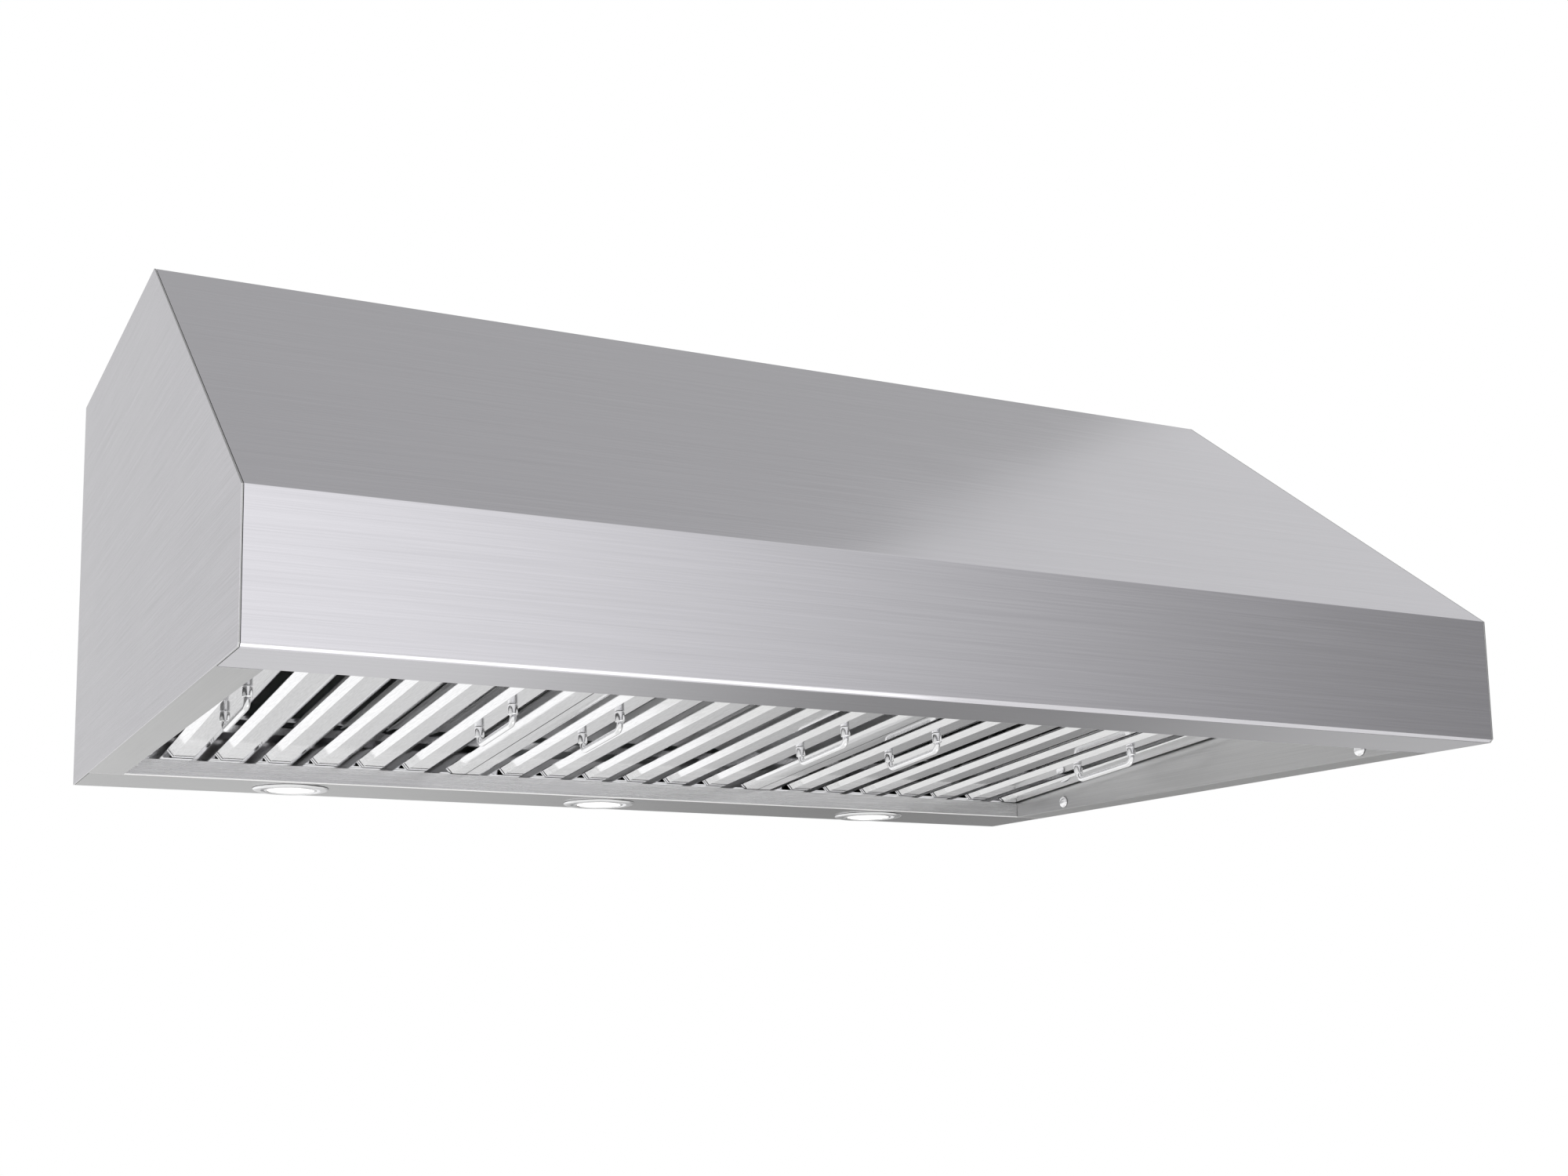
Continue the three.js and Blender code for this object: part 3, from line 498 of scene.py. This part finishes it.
# ---- Canopy ---------------------------------------------------------------------------------------
def front_canopy():
    band_z = RIM_Z + BAND
    path = [
        (TOP_FRONT_Y + HEM, TOP_Z),
        (TOP_FRONT_Y, TOP_Z),
        (FRONT_Y, band_z),
        (FRONT_Y, RIM_Z + CHAMFER),
        (FRONT_Y + CHAMFER, RIM_Z),
        (RETURN_Y, RIM_Z),
        (RETURN_Y, RETURN_TOP),
        (RETURN_Y + HEM, RETURN_TOP),
    ]
    shape = bmesh.new()
    worn_and_highlit = folded_sheet(shape, path, SHEET, canopy_low.x, canopy_high.x, FOLD, along_x)
    piece = stand_for(finish_mesh(shape, "front_canopy_sheet", worn_and_highlit), "front_canopy")
    cut_button_slot(piece)
    return piece


def cut_button_slot(piece):
    """The long slot in the return that the control strip covers."""
    strip_low, strip_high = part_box("control_strip")
    end_margin = 12 * MM
    edge_margin = 4.5 * MM
    front_reach = 4 * MM
    rear_reach = 1 * MM
    low = Vector((strip_low.x + end_margin, RETURN_Y - front_reach, strip_low.z + edge_margin))
    high = Vector((strip_high.x - end_margin, RETURN_Y + rear_reach, strip_high.z - edge_margin))
    shape = bmesh.new()
    bmesh.ops.create_cube(shape, size=1.0)
    shape.transform(Matrix.Translation((low + high) / 2) @ Matrix.Diagonal((*(high - low), 1)))
    mesh = bpy.data.meshes.new("slot_cutter")
    shape.to_mesh(mesh)
    shape.free()
    cutter = bpy.data.objects.new("slot_cutter", mesh)
    bpy.context.scene.collection.objects.link(cutter)
    modifier = piece.modifiers.new("slot", "BOOLEAN")
    modifier.operation = "DIFFERENCE"
    modifier.object = cutter
    modifier.solver = "EXACT"
    piece.modifiers.move(len(piece.modifiers) - 1, 0)
    bpy.context.view_layer.update()
    result = bpy.data.meshes.new_from_object(piece.evaluated_get(bpy.context.evaluated_depsgraph_get()))
    piece.modifiers.clear()
    piece.data = result
    bpy.data.objects.remove(cutter)


def rear_deck():
    """The deck with a rounder fold between its face and its lip, the fold marked as a rubbed edge with a painted
    highlight.
    """
    near = 0.01 * MM
    fold_break = 1.1 * MM
    edge_break = 0.3 * MM
    shape = cad_shape("rear_deck")
    fold = [
        e for e in shape.edges
        if all(abs(v.co.y - LIP_Y) < near and abs(v.co.z - deck_low.z) < near for v in e.verts)
    ]
    made = bmesh.ops.bevel(shape, geom=fold, offset=fold_break, segments=5, profile=0.5, affect="EDGES")
    # the fold's faces are marked as rubbed, to get a painted highlight
    worn_and_highlit = made["faces"]
    break_edges(shape, edge_break, 2)
    piece = stand_for(finish_mesh(shape, "rear_deck_finished", worn_and_highlit), "rear_deck")
    # faces turned toward the front get the lighter copy of the steel: painted light on the lip
    repaint(piece, "lip", lambda normal: normal.y < -0.3)
    return piece


front_canopy()
for panel in ("back_panel", "top_panel"):
    refined(panel, PANEL_BREAK, 3)
for label, outward in (("left", -1), ("right", 1)):
    side_panel = refined(f"{label}_side_panel", PANEL_BREAK, 3)
    # faces not turned outward get the darker copy of the steel: painted shade inside and under the panel
    repaint(side_panel, "inner", lambda normal: normal.x * outward < 0.3)
rear_deck()


# ---- Filters --------------------------------------------------------------------------------------
def filter_place(i):
    """From a filter's own flat axes, with their origin on its rear edge, to where it rests."""
    pivot = Matrix.Translation(JOINT_AT[f"filter_{i}_swing"])
    return pivot @ Matrix.Rotation(-TILT, 4, "X") @ Matrix.Translation((0, 0, GAP))


def trough_path(x, base, up):
    half = FLAT / 2
    wide = half + WING
    edge = base + RISE * up
    return [(x - wide * up, edge), (x - half * up, base), (x + half * up, base), (x + wide * up, edge)]


def strip(shape, x0, x1, y0, y1, z0, z1):
    made = bmesh.ops.create_cube(shape, size=1.0)["verts"]
    middle = Vector(((x0 + x1) / 2, (y0 + y1) / 2, (z0 + z1) / 2))
    for vert in made:
        vert.co = Vector((vert.co.x * (x1 - x0), vert.co.y * (y1 - y0), vert.co.z * (z1 - z0))) + middle


def baffles(i, level):
    """One set of channels: lower ones open upwards, upper ones open downwards over the gaps."""
    lower = level == "lower"
    count = BAFFLES if lower else BAFFLES + 1
    base = LOWER_BASE if lower else UPPER_BASE
    y0 = -FILTER_FRONT + FRAME_SHEET + GAP
    y1 = FILTER_REAR - FRAME_SHEET - GAP if lower else -UPPER_REAR_GAP
    shape = bmesh.new()
    worn_and_highlit = []
    for k in range(count):
        x = (k - (count - 1) / 2) * PITCH
        path = trough_path(x, base, 1 if lower else -1)
        worn_and_highlit += folded_sheet(shape, path, BAFFLE_SHEET, y0, y1, BAFFLE_FOLD, along_y)
    depth = STRIP_LOWER if lower else STRIP_UPPER
    reach = (BAFFLES - 1) / 2 * PITCH + FLAT / 2 if lower else FILTER_HALF - FRAME_SHEET - GAP
    z0 = base if lower else base - BAFFLE_SHEET
    inset = 0.05 * MM  # keeps the strips' faces off the channels' own
    for y in (y0 + inset, y1 - depth - inset):
        strip(shape, -reach, reach, y, y + depth, z0 + inset, z0 + BAFFLE_SHEET - inset)
    node = f"filter_{i}_{level}_baffles"
    return stand_for(finish_mesh(shape, node + "_folded", worn_and_highlit, filter_place(i)), node)


def handle(i, side, label):
    """A round rod bent down between two sleeves with softened ends."""
    half = HANDLE_SPAN / 2
    low = HANDLE_ROD - HANDLE_DROP
    top = -GAP
    points = [Vector((0, -half, top)), Vector((0, -half, low + HANDLE_CORNER))]
    for end, first in ((-half, 180), (half, 270)):
        centre = Vector((0, end - math.copysign(HANDLE_CORNER, end), low + HANDLE_CORNER))
        for step in range(1, HANDLE_TURNS + 1):
            a = math.radians(first + 90 * step / HANDLE_TURNS)
            points.append(centre + HANDLE_CORNER * Vector((0, math.cos(a), math.sin(a))))
        if end < 0:
            points.append(Vector((0, half - HANDLE_CORNER, low)))
    points.append(Vector((0, half, top)))
    shape = bmesh.new()
    tube(shape, points, HANDLE_ROD)
    foot = low + HANDLE_CORNER
    sleeve = [
        (0, foot),
        (HANDLE_POST - SLEEVE_LIP, foot),
        (HANDLE_POST, foot + SLEEVE_LIP),
        (HANDLE_POST, top - SLEEVE_LIP),
        (HANDLE_POST - SLEEVE_LIP / 2, top),
        (0, top),
    ]
    for y in (-half, half):
        lathe(shape, sleeve, (0, y, 0), 40)
    offset = Vector((side * (BAFFLES - 1) / 2 * PITCH, -HANDLE_REAR - half, LOWER_BASE))
    node = f"filter_{i}_handle_{label}"
    place = filter_place(i) @ Matrix.Translation(offset)
    return stand_for(finish_mesh(shape, node + "_rod", [], place, 40), node)


for i in FILTERS:
    refined(f"filter_{i}_frame")
    refined(f"filter_{i}_clip", 0.15 * MM, 2)
    for level in ("lower", "upper"):
        baffles(i, level)
    for side, label in ((-1, "left"), (1, "right")):
        handle(i, side, label)


# ---- Lamps ----------------------------------------------------------------------------------------
def lamp(i):
    """A trim ring with a dark groove, a slightly domed lens and the body above."""
    low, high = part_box(f"lamp_{i}_trim")
    centre = ((low.x + high.x) / 2, (low.y + high.y) / 2, 0)
    top = RIM_Z - GAP
    bore = LENS_R + GAP
    trim = [
        (bore, 0.5 * MM),
        (bore + 0.4 * MM, 0.05 * MM),
        (INNER_RING_R, 0),
        (GROOVE_LOW_R - 0.2 * MM, SOFTEN),
        (GROOVE_LOW_R, GROOVE_DEEP),
        (GROOVE_HIGH_R, GROOVE_DEEP),
        (GROOVE_HIGH_R + SOFTEN, SOFTEN),
        (OUTER_RING_R, 0.02 * MM),
        (OUTER_RING_END, 0.1 * MM),
        (TRIM_R - 0.8 * MM, RIM_Z - 1.3 * MM),
        (TRIM_R - 0.1 * MM, RIM_Z - 0.7 * MM),
        (TRIM_R, top),
        (TRIM_NECK_R, top),
        (TRIM_NECK_R, TRIM_TOP),
        (bore, TRIM_TOP),
    ]
    shape = bmesh.new()
    lathe(shape, trim, centre)
    stand_for(finish_mesh(shape, f"lamp_{i}_trim_ring", []), f"lamp_{i}_trim")
    lens = [(0, LENS_LOW)]
    for step in range(1, LENS_STEPS + 1):
        inset = 0.1 * MM if step == LENS_STEPS else 0
        share = step / LENS_STEPS
        lens.append((LENS_R * share - inset, LENS_LOW + LENS_CROWN * share ** 2))
    lens += [(LENS_R, LENS_STEP_HIGH), (LENS_R, LENS_HIGH), (0, LENS_HIGH)]
    shape = bmesh.new()
    lathe(shape, lens, centre)
    stand_for(finish_mesh(shape, f"lamp_{i}_lens_disc", []), f"lamp_{i}_lens")
    refined(f"lamp_{i}_body", 0.4 * MM, 2)


for i in FILTERS:
    lamp(i)

# ---- Everything else keeps its CAD shape with finished edges ---------------------------------------
THIN_BREAKS = {
    "blower_wheel": 0.1 * MM,
    "damper_flap_front": 0.12 * MM,
    "damper_flap_rear": 0.12 * MM,
    "duct_collar": 0.2 * MM,
    "control_board": 0.2 * MM,
    "damper_pin": 0.2 * MM,
    "inlet_ring_left": 0.3 * MM,
    "inlet_ring_right": 0.3 * MM,
}
ALREADY_DONE = (
    "front_canopy", "side_panel", "rear_deck", "back_panel", "top_panel",
    "filter_", "lamp_1", "lamp_2", "lamp_3",
)
for node in frame["nodes"]:
    if not any(key in node for key in ALREADY_DONE):
        refined(node, THIN_BREAKS.get(node, EDGE_BREAK))


# ---- Floor, light and camera ----------------------------------------------------------------------
FLOOR_HALF = 3.0
FLOOR_Z = -2.0
FLOOR_COLOUR = (0.82, 0.82, 0.81)


def floor():
    shape = bmesh.new()
    bmesh.ops.create_grid(shape, x_segments=2, y_segments=2, size=FLOOR_HALF)
    mesh = bpy.data.meshes.new("floor")
    shape.to_mesh(mesh)
    shape.free()
    piece = bpy.data.objects.new("floor", mesh)
    piece.location.z = FLOOR_Z
    bpy.context.scene.collection.objects.link(piece)
    s = Shader("pale_floor", FLOOR_COLOUR, 0.0, 0.7)
    cloud = s.noise(s.place, scale=1.5)
    s.link(s.tint(FLOOR_COLOUR, s.spread(cloud, 0.98, 1.02)), s.surface.inputs["Base Color"])
    mesh.materials.append(s.material)


def studio():
    """A white background, with soft light and dark areas by direction that only reflections show."""
    world = bpy.data.worlds.new("studio")
    bpy.context.scene.world = world
    world.use_nodes = True
    tree = world.node_tree
    tree.nodes.clear()
    new, link = tree.nodes.new, tree.links.new
    way = new("ShaderNodeTexCoord").outputs["Generated"]

    def ramp(direction, start, end, low, high):
        dot = new("ShaderNodeVectorMath")
        dot.operation = "DOT_PRODUCT"
        dot.inputs[1].default_value = direction
        link(way, dot.inputs[0])
        step = new("ShaderNodeMapRange")
        step.interpolation_type = "SMOOTHSTEP"
        for name, value in (("From Min", start), ("From Max", end), ("To Min", low), ("To Max", high)):
            step.inputs[name].default_value = value
        link(dot.outputs["Value"], step.inputs["Value"])
        return step.outputs["Result"]

    def mix(mask, a, b):
        node = new("ShaderNodeMix")
        link(mask, node.inputs["Factor"])
        for key, value in (("A", a), ("B", b)):
            if isinstance(value, float):
                node.inputs[key].default_value = value
            else:
                link(value, node.inputs[key])
        return node.outputs["Result"]

    overhead = ramp((-0.490, 0.861, -0.133), -0.015, 0.02, 0.67, 0.44)
    behind = mix(ramp((0, 0, 1), 0.35, 0.6, 0, 1), 0.645, overhead)
    across = (0.819, 0, 0.573)
    below = mix(ramp(across, 0.10, 0.36, 0, 1), ramp(across, -0.09, -0.01, 1.1, 0.69), 0.27)
    below = mix(ramp(across, 0.40, 0.52, 0, 1), below, 0.48)
    low_behind = mix(ramp((0, 0, -1), 0.0, 0.1, 0, 1), behind, below)
    front = ramp((1, 0, 0), 0.15, 0.9, 1.0, 0.22)
    level = mix(ramp((0, -1, 0), -0.05, 0.15, 0, 1), low_behind, front)
    path = new("ShaderNodeLightPath")
    gain = new("ShaderNodeMath")
    gain.operation = "MULTIPLY_ADD"
    gain.inputs[1].default_value = 0.6
    gain.inputs[2].default_value = 1.0
    link(path.outputs["Is Diffuse Ray"], gain.inputs[0])
    strength = new("ShaderNodeMath")
    strength.operation = "MULTIPLY"
    link(level, strength.inputs[0])
    link(gain.outputs["Value"], strength.inputs[1])
    light = new("ShaderNodeBackground")
    link(strength.outputs["Value"], light.inputs["Strength"])
    white = new("ShaderNodeBackground")
    seen = new("ShaderNodeMixShader")
    link(path.outputs["Is Camera Ray"], seen.inputs["Fac"])
    link(light.outputs["Background"], seen.inputs[1])
    link(white.outputs["Background"], seen.inputs[2])
    light.inputs["Color"].default_value = (1, 1, 1, 1)
    white.inputs["Color"].default_value = (1, 1, 1, 1)
    link(seen.outputs["Shader"], new("ShaderNodeOutputWorld").inputs["Surface"])


def soft_light(name, place, aim, width, depth, power):
    data = bpy.data.lights.new(name, "AREA")
    data.shape = "RECTANGLE"
    data.size = width
    data.size_y = depth
    data.energy = power
    lamp_object = bpy.data.objects.new(name, data)
    lamp_object.location = place
    lamp_object.rotation_mode = "QUATERNION"
    lamp_object.rotation_quaternion = (Vector(aim) - Vector(place)).to_track_quat("-Z", "Y")
    bpy.context.scene.collection.objects.link(lamp_object)


def camera():
    """The photograph's angle: from the front left, a little below the rim and looking slightly up."""
    data = bpy.data.cameras.new("camera")
    data.sensor_width = 36
    data.lens = 42.46
    data.shift_x = 0.1215
    data.shift_y = 0.111
    piece = bpy.data.objects.new("camera", data)
    piece.location = (-0.667, -1.258, -0.197)
    azimuth, rise, roll = math.radians(23.5), math.radians(8.1), math.radians(-0.3)
    way = Vector((math.sin(azimuth) * math.cos(rise), math.cos(azimuth) * math.cos(rise), math.sin(rise)))
    piece.rotation_mode = "QUATERNION"
    piece.rotation_quaternion = way.to_track_quat("-Z", "Y") @ Matrix.Rotation(roll, 3, "Z").to_quaternion()
    bpy.context.scene.collection.objects.link(piece)
    bpy.context.scene.camera = piece


floor()
studio()
soft_light("key", (-2.2, -2.0, 1.6), (0, 0, 0.1), 1.8, 1.8, 12)
soft_light("underfill", (0.4, -0.7, -1.9), (0.4, -0.69, 0), 1.7, 0.8, 2.5)
camera()
bpy.context.scene.view_settings.view_transform = "Standard"
